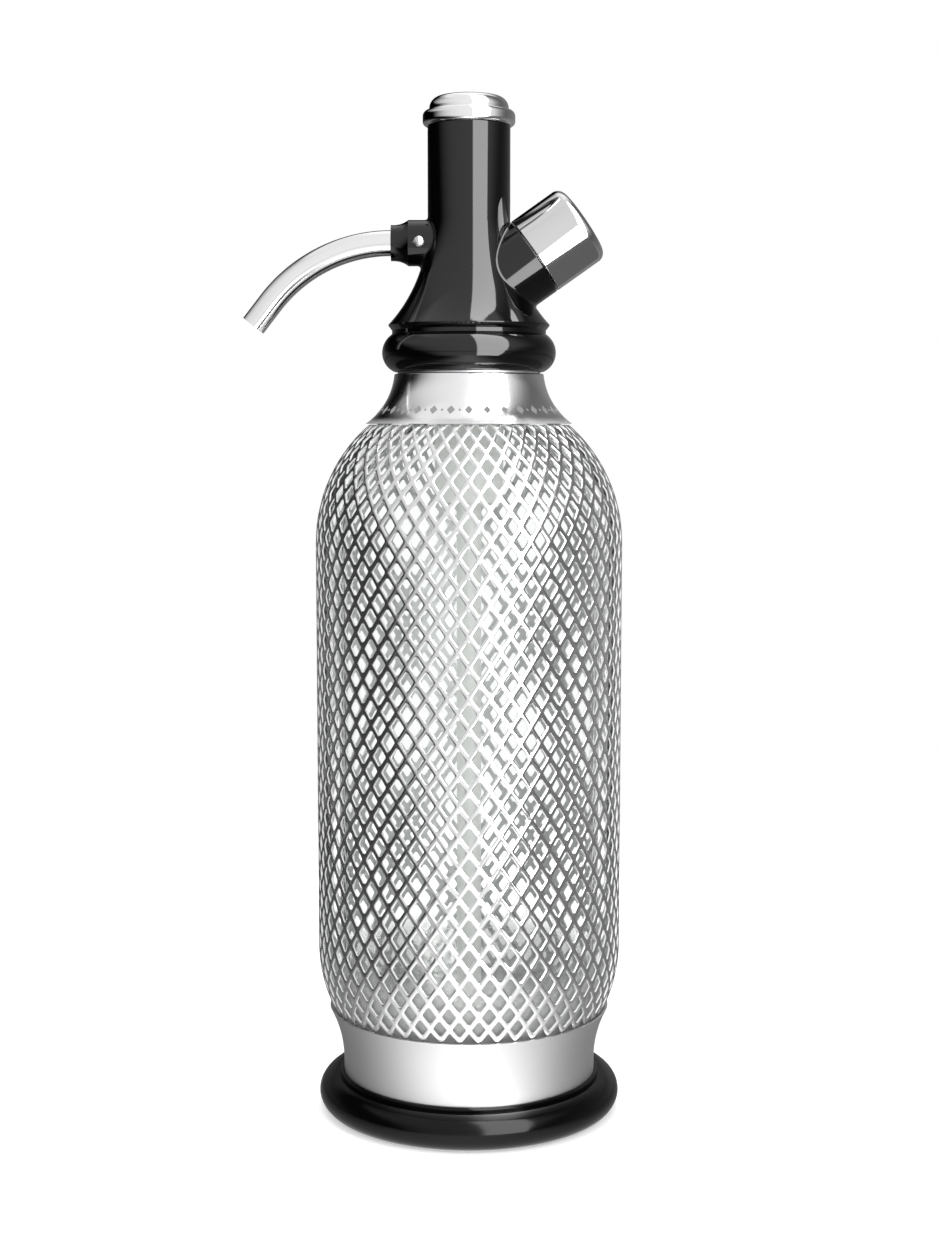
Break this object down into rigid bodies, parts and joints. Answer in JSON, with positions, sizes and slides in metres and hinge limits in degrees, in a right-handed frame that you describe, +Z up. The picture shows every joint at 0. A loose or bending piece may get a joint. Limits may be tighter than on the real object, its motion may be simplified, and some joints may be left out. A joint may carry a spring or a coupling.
{
  "type": "soda siphon",
  "caption": "Tall glass bottle in a metal mesh jacket with a black foot and head, a curved spout, a push button on top and a slanting chrome gas charger holder.",
  "frame": {"origin": "centre of the ring foot, in the plane it stands on, on the bottle's axis", "axes": "+Z up along the bottle; the spout points to -X, the charger holder to +X, and the front with the spout's pin faces -Y"},
  "size_m": [0.1318, 0.1072, 0.3559],
  "materials": {
    "black_moulding": "polished black moulding",
    "polished_metal": "polished",
    "satin_steel": "satin",
    "plain_steel": "plain",
    "clear_glass": "clear",
    "seal_rubber": "matt",
    "milky_plastic": "milky",
    "brass": "turned",
    "light_metal": "plain"
  },
  "bodies": {
    "bottle": {"base_ring": "black_moulding", "base_pad": "seal_rubber", "base_collar": "satin_steel", "mesh_jacket": "satin_steel", "glass_bottle": "clear_glass", "shoulder_collar": "polished_metal", "neck_ring": "light_metal", "neck_liner": "milky_plastic"},
    "gasket": {"head_gasket": "seal_rubber", "measuring_tube": "milky_plastic"},
    "riser": {"riser_tube": "milky_plastic", "riser_foot": "milky_plastic"},
    "head": {"head_housing": "black_moulding", "head_ring": "black_moulding", "thread_sleeve": "light_metal", "valve_block": "light_metal", "riser_seal": "seal_rubber", "gas_flap": "seal_rubber", "block_screws": "plain_steel", "water_duct": "plain_steel", "valve_body": "light_metal", "valve_plug": "brass", "stem_gland": "brass", "stem_seal": "seal_rubber", "valve_spring": "plain_steel", "button_ring": "polished_metal", "spout_ferrule": "black_moulding", "spout_tube": "polished_metal", "spout_seal": "seal_rubber", "spout_pin": "plain_steel", "piercing_nozzle": "brass", "piercing_pin": "plain_steel", "charger_seal": "seal_rubber"},
    "button": {"button_cap": "polished_metal", "plunger": "black_moulding", "valve_stem": "plain_steel", "valve_disc": "seal_rubber"},
    "charger": {"co2_charger": "plain_steel"},
    "holder_pad": {"charger_pad": "seal_rubber"},
    "holder": {"charger_cap": "polished_metal", "charger_cup": "light_metal"}
  },
  "joints": [
    {"name": "head_lift", "type": "slide", "parent": "bottle", "child": "gasket", "axis": [0, 0, 1], "range_m": [0, 0.25]},
    {"name": "head_rise", "type": "slide", "parent": "gasket", "child": "riser", "axis": [0, 0, 1], "range_m": [0, 0.0105]},
    {"name": "head_turn", "type": "hinge", "parent": "riser", "child": "head", "pos_m": [0, 0, 0.264], "axis": [0, 0, 1], "range_deg": [0, 1260]},
    {"name": "button_press", "type": "slide", "parent": "head", "child": "button", "axis": [0, 0, -1], "range_m": [0, 0.004], "stiffness_N_per_m": 2500, "springref_m": -0.004, "deforming": ["valve_spring"]},
    {"name": "charger_draw", "type": "slide", "parent": "head", "child": "charger", "axis": [0.8181, 0, 0.575], "range_m": [0, 0.06]},
    {"name": "holder_back", "type": "slide", "parent": "charger", "child": "holder_pad", "axis": [0.8181, 0, 0.575], "range_m": [0, 0.009]},
    {"name": "holder_turn", "type": "hinge", "parent": "holder_pad", "child": "holder", "pos_m": [0, 0, 0.28515], "axis": [0.8181, 0, 0.575], "range_deg": [0, 1620]}
  ],
  "couplings": [
    {"joint": "head_rise", "follows": "head_turn", "m_per_rad": 0.00047746},
    {"joint": "holder_back", "follows": "holder_turn", "m_per_rad": 0.0003183}
  ]
}
